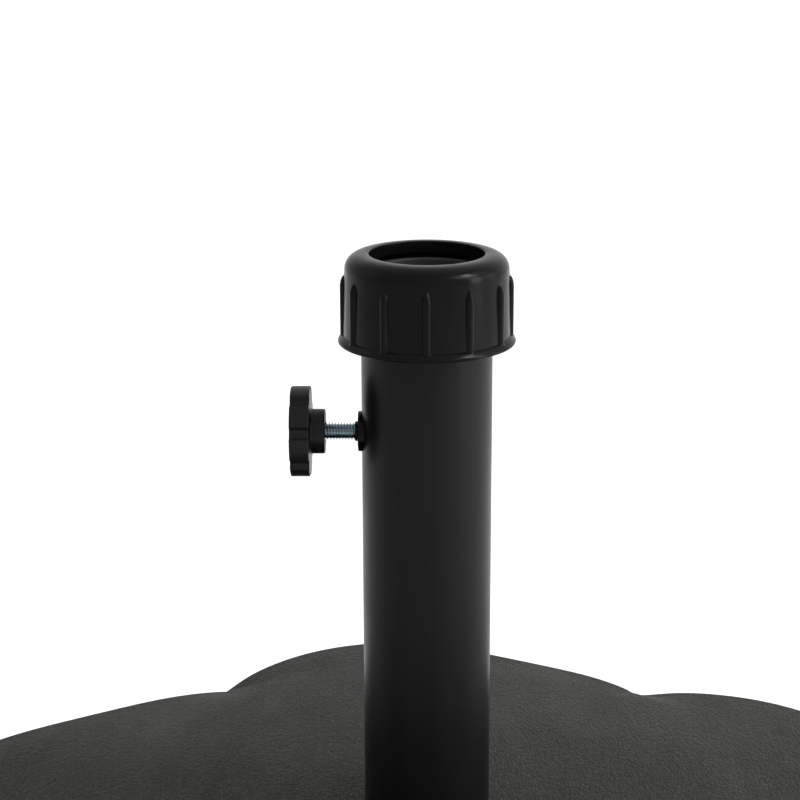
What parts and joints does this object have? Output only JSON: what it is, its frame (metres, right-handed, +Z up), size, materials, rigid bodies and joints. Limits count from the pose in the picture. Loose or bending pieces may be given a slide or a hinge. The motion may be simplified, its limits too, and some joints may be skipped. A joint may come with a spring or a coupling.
{
  "type": "parasol base",
  "caption": "Weighted parasol base: a petal-edged foot with a steel post, a ribbed collar nut on its open top and a star-knob clamp screw in its side.",
  "frame": {"origin": "on the floor under the rubber feet, on the post's axis", "axes": "+Z up along the post, -X out along the clamp screw towards its knob"},
  "size_m": [0.547, 0.5788, 0.37],
  "materials": {
    "grained_plastic": "fine leather grain, matt",
    "satin_plastic": "satin moulded",
    "pan_plastic": "matt moulded",
    "black_steel": "satin powder coat",
    "zinc_steel": "bright zinc plate",
    "cast_concrete": "cast concrete",
    "foot_rubber": "matt"
  },
  "bodies": {
    "base": {"top_cover": "grained_plastic", "ballast_block": "cast_concrete", "bottom_pan": "pan_plastic", "rubber_foot_1": "foot_rubber", "rubber_foot_2": "foot_rubber", "rubber_foot_3": "foot_rubber", "rubber_foot_4": "foot_rubber", "rubber_foot_5": "foot_rubber", "rubber_foot_6": "foot_rubber", "pan_screw_1": "zinc_steel", "pan_screw_2": "zinc_steel", "pan_screw_3": "zinc_steel", "pan_screw_4": "zinc_steel", "pan_screw_5": "zinc_steel", "pan_screw_6": "zinc_steel", "post_cup": "zinc_steel", "post_tube": "black_steel", "end_plug": "zinc_steel", "anchor_bolt": "zinc_steel", "anchor_washer": "zinc_steel", "post_seal": "foot_rubber", "threaded_sleeve": "satin_plastic", "screw_bush": "satin_plastic"},
    "clamp_ring_carrier": {"clamp_ring": "satin_plastic"},
    "collar_nut": {"cap_nut": "satin_plastic"},
    "screw_tip": {"pressure_pad": "satin_plastic"},
    "clamp_knob": {"clamp_screw": "zinc_steel", "knob_body": "satin_plastic"}
  },
  "joints": [
    {"name": "nut_lift", "type": "slide", "parent": "base", "child": "clamp_ring_carrier", "axis": [0, 0, 1], "range_m": [0, 0.0201]},
    {"name": "nut_turn", "type": "hinge", "parent": "clamp_ring_carrier", "child": "collar_nut", "pos_m": [0, 0, 0.35], "axis": [0, 0, 1], "range_deg": [0, 1800]},
    {"name": "screw_feed", "type": "slide", "parent": "base", "child": "screw_tip", "axis": [1, 0, 0], "range_m": [0, 0.01305]},
    {"name": "knob_turn", "type": "hinge", "parent": "screw_tip", "child": "clamp_knob", "pos_m": [-0.05, 0, 0.2862], "axis": [1, 0, 0], "range_deg": [0, 3744]}
  ],
  "couplings": [
    {"joint": "nut_lift", "follows": "nut_turn", "m_per_rad": 0.00063662},
    {"joint": "screw_feed", "follows": "knob_turn", "m_per_rad": 0.00019894}
  ]
}
